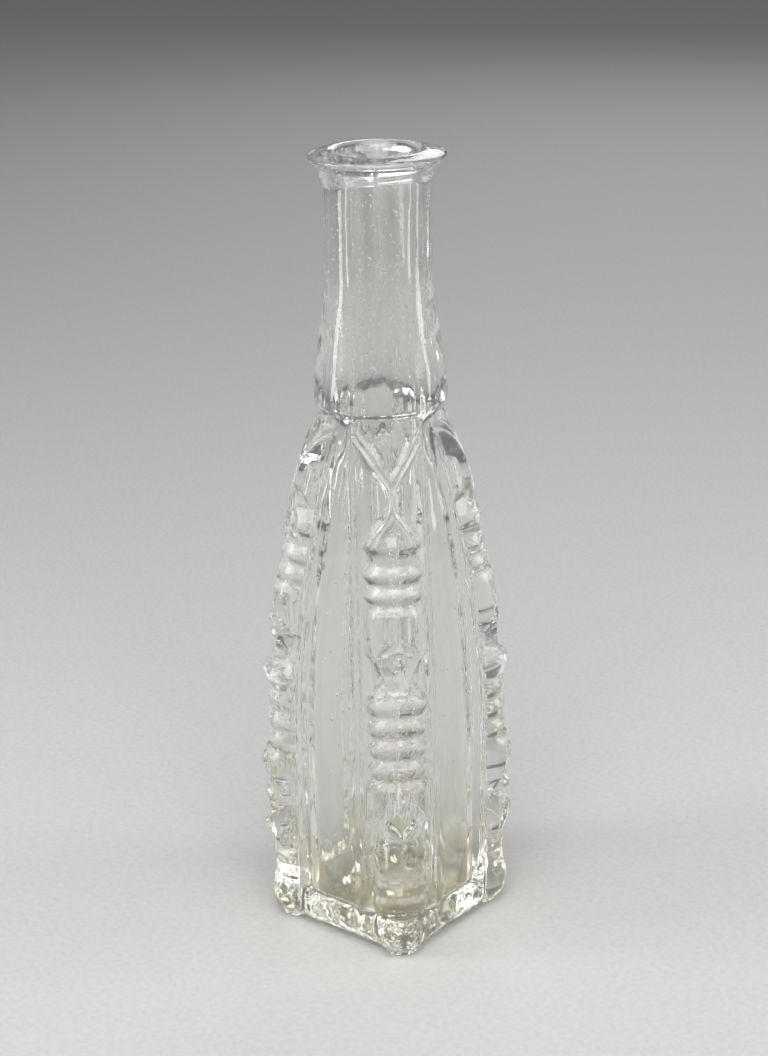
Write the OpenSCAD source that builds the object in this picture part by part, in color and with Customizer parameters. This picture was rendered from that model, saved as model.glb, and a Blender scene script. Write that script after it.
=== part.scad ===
// Square clear-glass cologne bottle with a turned column on each corner,
// sunk panels between them, a flared neck and an applied lip.
// Millimetres, +Z up. The origin is on the axis, at the resting face.
// The panels face +X, -X, +Y and -Y, and the columns stand on the diagonals.

/* [Overall] */
// Height from the resting face to the top of the lip
bottle_h = 142.6; // [130:0.2:170]
// Height of the body, up to the lower edge of the neck
shoulder_z = 98; // [92:1:106]

/* [Body taper] */
// Distance from the axis to each column's centre line at the foot
foot_spread = 17; // [16:0.25:20]
// Distance from the axis to each column's centre line at the shoulder
shoulder_spread = 7.6; // [7.2:0.1:8.6]
// Height at which the upright foot ends and the taper begins
knee_z = 38; // [28:1:48]
// Power of the taper curve: 1 is a straight cone, and more is fuller
taper_power = 1.73; // [1.5:0.01:2]

/* [Walls and cavity] */
// Distance from a column's centre line to the face of the margins, square to that face
margin_reach = 4.2; // [3.8:0.1:4.6]
// Depth of the sunk panels behind the margins
panel_sink = 0.8; // [0.4:0.1:1.2]
// Thickness of the panels' glass at the foot
wall = 3.4; // [2.6:0.1:4]
// Radius of the cavity's rounded corners, more than its flat sides, at the foot
corner_swell = 2; // [1:0.1:3]
// Radius of the cavity where the body meets the neck
throat_r = 7; // [6.8:0.1:7.3]
// Height of the cavity's floor at its edge
floor_z = 4.5; // [3.5:0.1:6]
// Height of the plain heel below the sunk panels
heel_h = 6.9; // [5.5:0.1:9]
// Width of the flat left under the walls by the heel's rounding
heel_land = 0.2; // [0.1:0.1:1.5]
// Rise of the hollow under the base
push_up = 1.8; // [1:0.1:2.5]
// Radius of the hollow under the base
push_up_r = 8.5; // [7:0.1:9.5]
// Thickness of the dried residue on the floor
residue_t = 0.5; // [0.3:0.1:1]

/* [Columns] */
// Width of a column with the margin on each side of it, at the foot
strip_foot_w = 15; // [13.8:0.1:16]
// The same width at the knee
strip_knee_w = 13.8; // [13:0.1:14.6]
// The same width at the shoulder
strip_top_w = 12; // [11.6:0.1:12.2]
// Radius of the grooves between the turned members
groove_r = 4.4; // [4.2:0.1:4.6]
// Radius of the rings' sharp edges
ring_r = 5.15; // [4.7:0.05:5.4]
// Width of the flat on each ring's edge
ring_edge = 0.5; // [0.3:0.1:0.9]
// How far the rings stand back from the centre line, towards the bottle
ring_set_back = 0.5; // [0:0.1:0.8]
// Radius of the ball feet
ball_r = 5.05; // [4.8:0.05:5.2]
// Radius of the pads that the balls stand on
pad_r = 3; // [2.6:0.1:3.8]
// Height of the pads, up to where the balls swell out over them
pad_h = 0.6; // [0.4:0.1:1.2]
// Height of the ball feet with their pads, up to the first ring
ball_h = 7.8; // [7.4:0.1:8.2]
// Radius of the foot's rings
foot_ring_r = 4.8; // [4.4:0.1:5.2]
// Height of each of the foot's rings
foot_ring_h = 3.3; // [2.8:0.1:3.6]
// Number of rings above the ball foot
foot_rings = 2; // [1:1:2]
// Height of the lower dome
low_dome_h = 8.2; // [7.4:0.1:9]
// Height of the lower drop
low_drop_h = 11.4; // [10.4:0.1:12.4]
// Height of each of the middle rings
mid_ring_h = 3.9; // [3.4:0.1:4.2]
// Number of middle rings
mid_rings = 3; // [2:1:3]
// Height of the upper dome
high_dome_h = 8; // [7:0.1:9]
// Height of the upper drop
high_drop_h = 12.5; // [11.5:0.1:13.5]
// Height of each of the upper rings
top_ring_h = 3.55; // [3:0.05:3.8]
// Number of upper rings
top_rings = 2; // [1:1:2]
// Height of the plain groove over the upper rings
collar_h = 1.6; // [1.2:0.1:2.2]
// Greatest radius of the lower dome
low_dome_r = 5.4; // [4.9:0.1:5.7]
// Greatest radius of the upper dome
high_dome_r = 5.5; // [4.9:0.1:5.7]
// Height of a dome's widest place, as a share of its height
dome_widest = 0.42; // [0.3:0.02:0.6]
// Radius of a dome's tip, under the drop above it
apex_r = 1.6; // [1.2:0.1:2.4]
// Greatest radius of the lower drop
low_drop_r = 5.6; // [5:0.1:5.8]
// Greatest radius of the upper drop
high_drop_r = 5.1; // [4.8:0.1:5.5]
// Height of the rounded rim at the top of a drop
drop_rim_h = 3; // [2:0.1:4]
// Slope of the slanting cut under each drop, in degrees from level
cut_slope = 62; // [50:1:72]
// Radius of the bosses in the cuts
boss_r = 2.2; // [1.6:0.1:2.6]
// How far the upper boss stands out from the column's centre line
high_boss_reach = 4.6; // [4:0.1:5.2]
// How far the lower boss stands out from the column's centre line
low_boss_reach = 5; // [4:0.1:5.2]
// Width of the window sunk in each drop
window_w = 4; // [3:0.1:5]
// Depth of the windows
window_depth = 0.5; // [0.3:0.1:1]
// Radius of the plain shaft behind the fan and bell
shaft_r = 4.4; // [4.1:0.1:4.7]
// Radius of the bell's rim
bell_r = 5.1; // [4.8:0.1:5.4]
// Height of the bell's rim
bell_rim_h = 3.6; // [2.6:0.1:4.6]
// Height of the waist above the bell's lower edge
waist_h = 9.5; // [8:0.1:11]
// Width left at the waist between fan and bell
waist_w = 1; // [0.6:0.1:2]
// Radius of the scoops beside the waist
scoop_r = 11.4; // [10:0.2:14]
// Depth of the scoops into the shaft
scoop_depth = 1.3; // [1:0.1:1.8]
// How far the columns' tops stand back under the neck's foot
crown_inset = 0.75; // [0.3:0.05:1.2]
// How much the trimmed tops widen for each millimetre down
crown_slope = 0.39; // [0.3:0.01:0.5]

/* [Neck and lip] */
// Outside radius of the neck under the lip
neck_r = 9.3; // [9:0.1:9.8]
// Outside radius of the neck's flared foot
skirt_r = 11.65; // [11.2:0.05:12.2]
// Height over which the neck flares
flare_h = 23; // [18:1:28]
// Radius of the rounding under the neck's foot
skirt_round = 1.3; // [0.8:0.1:1.6]
// Radius of the straight bore that takes the cork
bore_r = 6.6; // [6.2:0.1:6.7]
// Length over which the throat narrows to the bore
throat_h = 7; // [5:0.5:10]
// Height of the applied lip
lip_h = 4.8; // [4:0.1:6]
// Outside radius of the lip
lip_r = 11.8; // [11:0.1:12.4]
// Thickness of the lip at its outer edge
lip_edge_t = 1.3; // [1:0.1:1.6]
// Height that the lip's top rises from its edge towards the mouth
lip_rise = 0.7; // [0.2:0.1:1.2]
// Height of the lip's upright collar, below its flange
collar_straight = 1.2; // [0.6:0.1:1.6]
// How far the lip's collar stands out from the neck
collar_proud = 0.25; // [0.1:0.05:0.5]
// Radius of the neck's end inside the lip
spigot_r = 8.2; // [7.8:0.1:8.4]
// Thickness of lip over the neck's end
lip_cap_t = 1.4; // [1:0.1:1.8]
// Radius of the mouth at its rounded top
mouth_r = 7.5; // [7.2:0.1:8.2]
// Height of the rounding at the top of the mouth
mouth_round = 0.4; // [0.2:0.1:0.8]

/* [Hidden] */
$fn = 64;
glass = [0.86, 0.9, 0.88, 0.45];
residue = [0.83, 0.78, 0.55];
steps = 16;        // straight pieces along the taper
arc_steps = 6;     // straight pieces in a quarter round
bell_lip_share = 0.4;   // how far up the bell's rim its widest place lies
dome_ball_share = 0.25; // how far up a dome the ball that fills it lies
joint_inset = 0.12;     // how far the balls in the grooves lie below the grooves' surface
over = 1;          // how far a cutting shape runs past what it cuts
reach = 60;        // half-length of the shapes that cut right across
heel_round = panel_sink + wall - heel_land;
lip_z = bottle_h - lip_h;

// Heights at which the turned members of a column begin
foot_rings_z = ball_h;
low_dome_z = foot_rings_z + foot_rings * foot_ring_h;
low_drop_z = low_dome_z + low_dome_h;
mid_rings_z = low_drop_z + low_drop_h;
high_dome_z = mid_rings_z + mid_rings * mid_ring_h;
high_drop_z = high_dome_z + high_dome_h;
top_rings_z = high_drop_z + high_drop_h;
collar_z = top_rings_z + top_rings * top_ring_h;

// Share of the taper done at a height, from 0 at the knee to 1 at the shoulder
function tapered(z) = pow(min(1, max(0, (z - knee_z) / (shoulder_z - knee_z))), taper_power);
// Distance from the axis to a column's centre line
function spine(z) = foot_spread - (foot_spread - shoulder_spread) * tapered(z);
// Lean of that centre line from upright, in degrees
function lean(z) = atan((spine(z + 0.5) - spine(z - 0.5)));
// Distance from the axis to the face of the margins
function margin_face(z) = spine(z) * cos(45) + margin_reach;
// Distance from the axis to the flat sides of the cavity
cavity_foot = margin_face(0) - panel_sink - wall;
function cavity_flat(z) = cavity_foot - (cavity_foot - throat_r) * tapered(z);
// Radius of the cavity's rounded corners
function cavity_round(z) = cavity_foot + corner_swell
    - (cavity_foot + corner_swell - throat_r) * tapered(z);
// Half the width of a column with its margins
function strip_half(z) = (z < knee_z
    ? strip_foot_w - (strip_foot_w - strip_knee_w) * z / knee_z
    : strip_knee_w - (strip_knee_w - strip_top_w) * (z - knee_z) / (shoulder_z - knee_z)) / 2;
// Corners of a strip's edge, from below the foot to above the shoulder
strip_edge = [for (z = [0, knee_z, shoulder_z]) [strip_half(z), z]];
// Heights at which a curved outline has its corners
taper_z = [for (i = [0 : steps]) knee_z + (shoulder_z - knee_z) * i / steps];

// A block whose +X side follows the outline points [x, z], from the axis out
module outline_block(points, low, high, both = false)
    rotate([90, 0, 0])
        linear_extrude(height = 2 * reach, center = true)
            polygon(concat(
                both ? [for (i = [len(points) - 1 : -1 : 0]) [-points[i][0], points[i][1]]]
                     : [[0, high], [0, low]],
                points));

// The outer block of one face, out to the margins, with or without the sunk panel
module face_block(sunk) {
    depth = sunk ? panel_sink : 0;
    heel = [for (i = [0 : arc_steps])
        [margin_face(0) - heel_round + heel_round * sin(90 * i / arc_steps),
         heel_round - heel_round * cos(90 * i / arc_steps)]];
    outline_block(concat(heel,
        [[margin_face(0), heel_h - panel_sink], [margin_face(0) - depth, heel_h]],
        [for (z = taper_z) [margin_face(z) - depth, z]]), 0, shoulder_z);
}

// The space inside the body: flat sides with rounded corners
module cavity() {
    flat_side = concat([[cavity_flat(0), floor_z]], [for (z = taper_z) [cavity_flat(z), z]],
        [[cavity_flat(shoulder_z), shoulder_z + over]]);
    round_side = concat([[0, floor_z], [cavity_round(0), floor_z]],
        [for (z = taper_z) [cavity_round(z), z]],
        [[cavity_round(shoulder_z), shoulder_z + over], [0, shoulder_z + over]]);
    intersection() {
        rotate_extrude() polygon(round_side);
        outline_block(flat_side, floor_z, shoulder_z + over, both = true);
        rotate([0, 0, 90]) outline_block(flat_side, floor_z, shoulder_z + over, both = true);
    }
}

// The plug of space that the base fills, below the cavity
module base_space(low, high)
    translate([0, 0, low]) intersection() {
        cylinder(h = high - low, r = cavity_round(0));
        translate([-cavity_foot, -cavity_foot, 0])
            cube([2 * cavity_foot, 2 * cavity_foot, high - low]);
    }

// A block across the column, out to the edges of its strip, along the diagonal on +X
module strip_block(past)
    rotate([0, 0, 90])
        outline_block(concat([[strip_half(0), -past]], strip_edge,
            [[strip_half(shoulder_z), shoulder_z + past]]), -past, shoulder_z + past, both = true);

// The cone round the bottle's axis that trims the tops of the columns
module crown() {
    top_r = skirt_r - crown_inset;
    fall = shoulder_z - knee_z;
    rotate_extrude()
        polygon([[0, 0], [reach, 0], [reach, knee_z], [top_r + fall * crown_slope, knee_z],
                 [top_r, shoulder_z], [0, shoulder_z]]);
}

// Places a member on the column's centre line, leaning with it
module on_spine(z)
    translate([spine(z), 0, z]) rotate([0, lean(z), 0]) children();

// A turned member between two heights; points are [radius, height above the low end]
module turned(low, high, points, set_back = 0) {
    middle = (low + high) / 2;
    on_spine(middle) translate([-set_back, 0, low - middle])
        rotate_extrude()
            polygon(concat([[0, points[0][1]]], points, [[0, points[len(points) - 1][1]]]));
}

// A ball in the groove between two members, which closes the joint where the lean changes
module joint_ball(z)
    on_spine(z) sphere(r = groove_r - joint_inset);

// One ring with a bevel above and below its edge
module ring(low, h, r)
    turned(low, low + h,
        [[groove_r, 0], [r, (h - ring_edge) / 2], [r, (h + ring_edge) / 2], [groove_r, h]],
        set_back = ring_set_back);

// A stack of equal rings
module rings(low, h, count, r)
    for (i = [0 : count - 1]) {
        ring(low + i * h, h, r);
        joint_ball(low + (i + 1) * h);
    }

// The ball foot on its pad
module ball_foot() {
    centre_z = pad_h + sqrt(ball_r * ball_r - pad_r * pad_r);
    translate([spine(0), 0, 0]) {
        cylinder(h = centre_z, r = pad_r);
        translate([0, 0, centre_z]) sphere(r = ball_r);
    }
}

// A dome that narrows upwards from its greatest radius to its tip
module dome(low, h, r) {
    widest = dome_widest * h;
    turned(low, low + h, concat(
        [[groove_r, 0]],
        [for (i = [0 : arc_steps])
            [apex_r + (r - apex_r) * cos(90 * i / arc_steps),
             widest + (h - widest) * sin(90 * i / arc_steps)]]));
}

// A drum with a rounded rim at the top, and a slanting cut and a window in its front
module drop(low, h, r) {
    window_h = h / 2 - drop_rim_h / 2;
    difference() {
        turned(low, low + h, concat(
            [[apex_r, 0], [r, 0], [r, h - drop_rim_h]],
            [for (i = [1 : arc_steps])
                [groove_r + (r - groove_r) * cos(90 * i / arc_steps),
                 h - drop_rim_h + drop_rim_h * sin(90 * i / arc_steps)]]));
        on_spine(low) translate([apex_r, 0, 0]) rotate([0, -cut_slope, 0])
            translate([-reach / 2, -reach / 2, -reach]) cube([reach, reach, reach]);
        on_spine(low + h / 2) translate([r - window_depth, -window_w / 2, 0])
            cube([r, window_w, window_h]);
    }
}

// The boss in a slanting cut, with a pointed cap
module boss(low, h, out)
    on_spine(low) translate([out - boss_r, 0, 0]) {
        sphere(r = boss_r);
        translate([0, 0, boss_r * sin(45)])
            cylinder(h = h, r1 = boss_r * cos(45), r2 = boss_r / 8);
    }

// A drop over a dome, with the boss between them
module drop_and_dome(low, dome_h, dome_r, drop_h, drop_r, boss_reach) {
    dome(low, dome_h, dome_r);
    joint_ball(low + dome_ball_share * dome_h);
    drop(low + dome_h, drop_h, drop_r);
    boss(low + dome_h + boss_r, boss_r, boss_reach);
    joint_ball(low + dome_h + drop_h);
}

// The shaft with the fan over the bell, cut out by a scoop on each side
module fan_and_bell() {
    lip_at = collar_h + bell_lip_share * bell_rim_h;
    waist_z = collar_z + collar_h + waist_h;
    difference() {
        turned(collar_z, shoulder_z,
            [[groove_r, 0], [groove_r, collar_h], [bell_r, lip_at],
             [shaft_r, collar_h + bell_rim_h], [shaft_r, shoulder_z - collar_z + over]]);
        for (side = [-1, 1])
            on_spine(waist_z)
                translate([shaft_r - scoop_depth, side * (waist_w / 2 + scoop_r), 0])
                    rotate([0, 90, 0]) cylinder(h = shaft_r, r = scoop_r);
    }
}

// All the turned members of one column, from the ball foot up
module turned_column() {
    ball_foot();
    joint_ball(foot_rings_z);
    rings(foot_rings_z, foot_ring_h, foot_rings, foot_ring_r);
    drop_and_dome(low_dome_z, low_dome_h, low_dome_r, low_drop_h, low_drop_r, low_boss_reach);
    rings(mid_rings_z, mid_ring_h, mid_rings, ring_r);
    drop_and_dome(high_dome_z, high_dome_h, high_dome_r, high_drop_h, high_drop_r,
        high_boss_reach);
    rings(top_rings_z, top_ring_h, top_rings, ring_r);
    fan_and_bell();
}

// The quarter of space on one side, along +X
module sector()
    linear_extrude(height = shoulder_z) polygon([[0, 0], [reach, -reach], [reach, reach]]);

// The corner of the body behind a column, with the margins on each side
module corner_wall() {
    centre_line = concat([[spine(0), 0]], [for (z = taper_z) [spine(z), z]]);
    intersection() {
        rotate([0, 0, 45]) face_block(false);
        rotate([0, 0, -45]) face_block(false);
        outline_block(centre_line, 0, shoulder_z);
    }
}

module column(turn)
    color(glass) rotate([0, 0, turn]) difference() {
        intersection() {
            union() {
                corner_wall();
                turned_column();
            }
            strip_block(0);
            crown();
            sector();
        }
        rotate([0, 0, 45]) cavity();
        rotate([0, 0, 45]) base_space(-over, floor_z + over);
    }

// One sunk panel with its heel, between two columns, facing +X before it is turned
module panel(turn)
    color(glass) rotate([0, 0, turn]) difference() {
        intersection() {
            face_block(true);
            sector();
        }
        for (side = [-45, 45])
            rotate([0, 0, side]) strip_block(over);
        cavity();
        base_space(-over, floor_z + over);
    }

// Radius of the sphere whose cap is the hollow under the base
push_up_sphere = (push_up_r * push_up_r + push_up * push_up) / (2 * push_up);

// The floor of the bottle, pushed up in the middle
module base()
    color(glass) difference() {
        union() {
            base_space(0, floor_z);
            intersection() {
                translate([0, 0, floor_z + push_up - push_up_sphere]) sphere(r = push_up_sphere);
                base_space(floor_z - over, floor_z + push_up + over);
            }
        }
        translate([0, 0, push_up - push_up_sphere]) sphere(r = push_up_sphere);
    }

// The film left on the floor by what the bottle held
module dried_residue()
    color(residue) difference() {
        intersection() {
            translate([0, 0, floor_z + push_up + residue_t - push_up_sphere])
                sphere(r = push_up_sphere);
            base_space(floor_z, floor_z + push_up + residue_t + over);
        }
        translate([0, 0, floor_z + push_up - push_up_sphere]) sphere(r = push_up_sphere);
    }

// Outside radius of the neck at a height
function neck_outside(z) = neck_r + (skirt_r - neck_r)
    * (0.5 + 0.5 * cos(180 * min(1, max(0, (z - shoulder_z - skirt_round) / flare_h))));

// The neck, with its flared foot on the body and its end inside the lip
module neck() {
    flare_z = [for (i = [0 : steps]) shoulder_z + skirt_round + flare_h * i / steps];
    color(glass) rotate_extrude() polygon(concat(
        [[throat_r, shoulder_z]],
        [for (i = [0 : arc_steps])
            [skirt_r - skirt_round + skirt_round * sin(90 * i / arc_steps),
             shoulder_z + skirt_round - skirt_round * cos(90 * i / arc_steps)]],
        [for (i = [1 : steps]) [neck_outside(flare_z[i]), flare_z[i]]],
        [[neck_r, lip_z], [spigot_r, lip_z], [spigot_r, bottle_h - lip_cap_t],
         [bore_r, bottle_h - lip_cap_t], [bore_r, shoulder_z + throat_h]]));
}

// The applied lip: a collar laid round the neck's end and spread to a flange
module lip() {
    edge_r = lip_edge_t / 2;
    edge_z = bottle_h - lip_rise - edge_r;
    mouth_top_r = (mouth_r + lip_r) / 2 - edge_r;
    color(glass) rotate_extrude() polygon(concat(
        [[spigot_r, lip_z], [neck_r + collar_proud, lip_z],
         [neck_r + collar_proud, lip_z + collar_straight]],
        [for (i = [-3 : arc_steps])
            [lip_r - edge_r + edge_r * cos(90 * i / arc_steps),
             edge_z + edge_r * sin(90 * i / arc_steps)]],
        [[mouth_top_r, bottle_h], [mouth_r, bottle_h - mouth_round],
         [bore_r, bottle_h - lip_cap_t], [spigot_r, bottle_h - lip_cap_t]]));
}

lip();
neck();
panel(-90);  // panel_front
panel(0);  // panel_right
panel(90);  // panel_back
panel(180);  // panel_left
column(-45);  // column_front_right
column(45);  // column_back_right
column(135);  // column_back_left
column(-135);  // column_front_left
base();
dried_residue();
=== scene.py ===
import math

import bmesh
import bpy
import numpy as np
from mathutils import Matrix, Vector


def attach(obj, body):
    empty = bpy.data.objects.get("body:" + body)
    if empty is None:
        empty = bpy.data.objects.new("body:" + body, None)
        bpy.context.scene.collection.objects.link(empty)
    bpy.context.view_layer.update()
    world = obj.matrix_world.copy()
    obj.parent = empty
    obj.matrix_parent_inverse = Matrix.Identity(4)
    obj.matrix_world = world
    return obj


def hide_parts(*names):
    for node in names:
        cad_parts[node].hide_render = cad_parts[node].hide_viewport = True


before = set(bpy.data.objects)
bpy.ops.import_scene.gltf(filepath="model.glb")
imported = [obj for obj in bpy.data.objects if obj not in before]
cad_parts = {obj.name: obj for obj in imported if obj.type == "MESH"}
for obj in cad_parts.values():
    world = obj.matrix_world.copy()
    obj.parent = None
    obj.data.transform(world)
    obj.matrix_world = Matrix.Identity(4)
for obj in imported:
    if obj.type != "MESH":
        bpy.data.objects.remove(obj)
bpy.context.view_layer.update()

MM = 0.001
SQ = math.sqrt(0.5)
QUARTER = math.pi / 2
FULL = 2 * math.pi

# ---------------------------------------------------------------- the part's own sizes, in millimetres
BOTTLE_H = 142.6
SHOULDER_Z = 98.0
FOOT_SPREAD = 17.0          # from the bottle's axis to a column's centre line, below the knee
SHOULDER_SPREAD = 7.6       # the same at the shoulder
KNEE_Z = 38.0               # above this height the columns lean in
TAPER_POWER = 1.73
MARGIN_REACH = 4.2          # how far the margins' faces stand out past the centre lines
PANEL_SINK = 0.8            # how deep the panels lie under the margins
WALL = 3.4                  # glass behind the middle of a panel
CORNER_SWELL = 2.0          # how much further the inside reaches in its corners
THROAT_R = 7.0
BORE_R = 6.6
FLOOR_Z = 4.5
HEEL_ROUND = 4.0
PUSH_UP = 1.8
PUSH_UP_R = 8.5
NECK_R = 9.3
SKIRT_R = 11.65
SKIRT_ROUND = 1.3
FLARE_H = 23.0
LIP_Z = 137.8
GROOVE_SIDE = 4.3           # a column's radius in the grooves between its rings, at its sides
GROOVE_FRONT = 4.65         # and on its front
FILM_UNDER = -0.05          # the film lies from just inside the glass's skin
FILM_OVER = 0.06            # to just off it
FILM_TOP = 46.0
STRIP_Z = [0, KNEE_Z, SHOULDER_Z]
STRIP_HALF = [7.5, 6.9, 6.0]  # half-width at those heights of a column's strip with its margins

# the ball foot: height of the pad under it, its radius, the pad's radius
PAD_H, BALL_R, PAD_R = 0.6, 5.05, 3.0
# heights along a column's centre line at which its other turned members begin
FOOT_RINGS_Z, LOW_DOME_Z, LOW_DROP_Z, MID_RINGS_Z = 7.8, 14.4, 22.6, 34.0
HIGH_DOME_Z, HIGH_DROP_Z, TOP_RINGS_Z, COLLAR_Z, BELL_Z = 45.7, 53.7, 66.2, 73.3, 74.9

# stacks of rings: lower end, one ring's height, how many rings, their radius, how much dirt and painted shade
# they carry
RING_STACKS = [(FOOT_RINGS_Z, 3.3, 2, 4.85, 0.5),
               (MID_RINGS_Z, 3.9, 3, 5.25, 1.0),
               (TOP_RINGS_Z, 3.55, 2, 5.25, 0.35)]
# the single rings: lower edge, height, radius, dirt and painted shade
RINGS = [(low + h * i, h, r, dirt_and_shade) for low, h, count, r, dirt_and_shade in RING_STACKS for i in range(count)]
# domes: lower end, upper end, radius, share of the height at which they are widest
DOMES = [(LOW_DOME_Z, LOW_DROP_Z, 5.4, 0.42), (HIGH_DOME_Z, HIGH_DROP_Z, 5.5, 0.34)]
# drops: lower end, upper end, radius
DROPS = [(LOW_DROP_Z, MID_RINGS_Z, 5.6), (HIGH_DROP_Z, TOP_RINGS_Z, 5.1)]
CUP_SLOPE = 0.531           # how the cut of the cups under the drops runs out as it rises
CUP_COS = 0.883             # the cosine of that slope's angle

# half-width of the fan and bell at heights along the column
FAN_S = [74.9, 76.4, 77.9, 79.2, 80.5, 81.7, 82.8, 84.0, 85.6, 87.3, 89.3, 93.6, 96.5]
FAN_W = [5.5, 4.8, 4.1, 3.2, 2.1, 1.15, 0.6, 0.5, 0.7, 1.45, 3.0, 5.8, 7.6]
FAN_COS = 0.75              # about the cosine of the angle at which the fan's edge runs out

# the neck's rounded foot on the shoulder: heights and radii
NECK_FOOT_Z = [96.6, 97.6, 98.2, 98.6, 99.3]
NECK_FOOT_R = [8.0, 9.6, 10.7, 11.3, SKIRT_R]

# section of the lip, from under it over the rim and down into the bore: radius, height
LIP_LINE = [(9.3, 137.3), (9.42, 137.75), (9.75, 138.3), (9.7, 139.1), (10.3, 139.9), (11.45, 140.75),
            (11.8, 141.2), (11.72, 141.65), (11.3, 141.95), (10.2, 142.1), (9.2, 142.3), (8.55, 142.5),
            (7.75, 142.4), (7.2, 142.0), (6.9, 141.3), (6.65, 140.2), (BORE_R, 138.6)]


# ---------------------------------------------------------------- small tools for shapes
# A form's edge is written step((edge - value) / soft), which is 0 above the edge and 1 from a distance
# of soft below it, or the other way round with edge and value swapped. All are millimetres, on a column
# in its own frame: x out along its diagonal, y to its side, s up its centre line.
def step(x):
    x = np.clip(x, 0.0, 1.0)
    return x * x * (3 - 2 * x)


def hump(x, width):
    """1 where x is 0, fading over about a width to each side."""
    return np.exp(-((x / width) ** 2))


def smin(a, b, k):
    """The smaller of two distances, with the corner between them rounded over k."""
    h = np.clip(0.5 + 0.5 * (b - a) / k, 0.0, 1.0)
    return b + (a - b) * h - k * h * (1 - h)


def smax(a, b, k):
    return -smin(-a, -b, k)


def tapered(z):
    """How far the body has drawn in, from 0 at the knee to 1 at the shoulder."""
    return np.clip((z - KNEE_Z) / (SHOULDER_Z - KNEE_Z), 0.0, 1.0) ** TAPER_POWER


def spine(z):
    """How far a column's centre line is from the bottle's axis."""
    return FOOT_SPREAD - (FOOT_SPREAD - SHOULDER_SPREAD) * tapered(z)


def slope(z):
    """How far a column's centre line leans in per millimetre of height."""
    return spine(z - 0.5) - spine(z + 0.5)


def strip_half(z):
    """Half-width of a column's strip, margins included."""
    return np.interp(z, STRIP_Z, STRIP_HALF)


def nearest_diagonal(theta):
    """Angle from the nearest column's diagonal."""
    return (theta + QUARTER) % QUARTER - QUARTER / 2


# ---------------------------------------------------------------- a column
def turned_profile(groove):
    """Places along the centre line, the members' radius there between grooves of one radius, and how far
    back the stacks of rings stand."""
    spacing, blur = 0.05, 0.11
    s = np.arange(-1.0, 100.0, spacing)
    r = np.full_like(s, groove)
    ball_z = PAD_H + math.sqrt(BALL_R**2 - PAD_R**2)
    ball = np.sqrt(np.maximum(BALL_R**2 - (s - ball_z) ** 2, 0.0))
    ball = np.maximum(ball, np.where(s > ball_z, groove, 0.0))
    r = np.where(s < FOOT_RINGS_Z, np.where(s < PAD_H, PAD_R, ball), r)
    for low, h, top, _ in RINGS:
        t = (s - low) / h
        crown = 1 - np.abs(2 * np.clip(t, 0, 1) - 1) ** 1.35
        r = np.where((t >= 0) & (t <= 1), groove + (top - groove) * crown, r)
    # a dome swells quickly to its widest and closes in an arc, down to a narrow top
    dome_top = 1.6
    for low, high, top, share in DOMES:
        h = high - low
        t = s - low
        widest = share * h
        up = np.clip((t - widest) / (h - widest), 0, 1)
        body = np.where(t < widest, groove + (top - groove) * step(t / widest) ** 0.7,
                        dome_top + (top - dome_top) * np.sqrt(1 - up**2))
        r = np.where((t >= 0) & (t < h), body, r)
    # a drop is straight and rounds in over its shoulder
    drop_shoulder = 3.0
    for low, high, top in DROPS:
        up = np.clip((s - (high - drop_shoulder)) / drop_shoulder, 0, 1)
        r = np.where((s >= low) & (s < high), groove + (top - groove) * np.sqrt(1 - up**2), r)
    bell = np.interp(s, [COLLAR_Z, BELL_Z, BELL_Z + 1.5, BELL_Z + 3.6, 99],
                     [groove - 0.3, groove - 0.2, 5.15, 4.4, 4.4])
    r = np.where(s >= COLLAR_Z, bell, r)
    kernel = np.exp(-0.5 * (np.arange(-8, 9) * spacing / blur) ** 2)
    r = np.convolve(np.pad(r, 8, mode="edge"), kernel / kernel.sum(), mode="valid")
    back = np.zeros_like(s)
    for low, high in [(FOOT_RINGS_Z, LOW_DOME_Z), (MID_RINGS_Z, HIGH_DOME_Z), (TOP_RINGS_Z, COLLAR_Z)]:
        back = np.maximum(back, step((s - low) / 0.5 + 0.5) * step((high - s) / 0.5 + 0.5))
    return s, r, 0.5 * back


PROFILE_S, PROFILE_SIDE, PROFILE_BACK = turned_profile(GROOVE_SIDE)
PROFILE_FRONT = turned_profile(GROOVE_FRONT)[1]


def leaf(y, s, y0, s0, half_w, half_h, tilt=0.0, soft=0.45):
    """1 inside a pointed leaf drawn on the column's front, falling softly to 0 at its edge."""
    c, d = math.cos(math.radians(tilt)), math.sin(math.radians(tilt))
    a, b = (y - y0) * c - (s - s0) * d, (y - y0) * d + (s - s0) * c
    v = 1 - (b / half_h) ** 2 - np.abs(a) / half_w
    return step(v / soft)


def drop_cut(x, y, s, low):
    """Distance outside what is left of a drop, whose front is cut back to a cup at its lower end."""
    up = s - low
    front = (x - 1.6 - CUP_SLOPE * up) * CUP_COS
    side = y - np.interp(up, [0, 3.3, 3.7], [3.6, 4.35, 6.2])
    return smax(front, side, 0.35)


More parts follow.
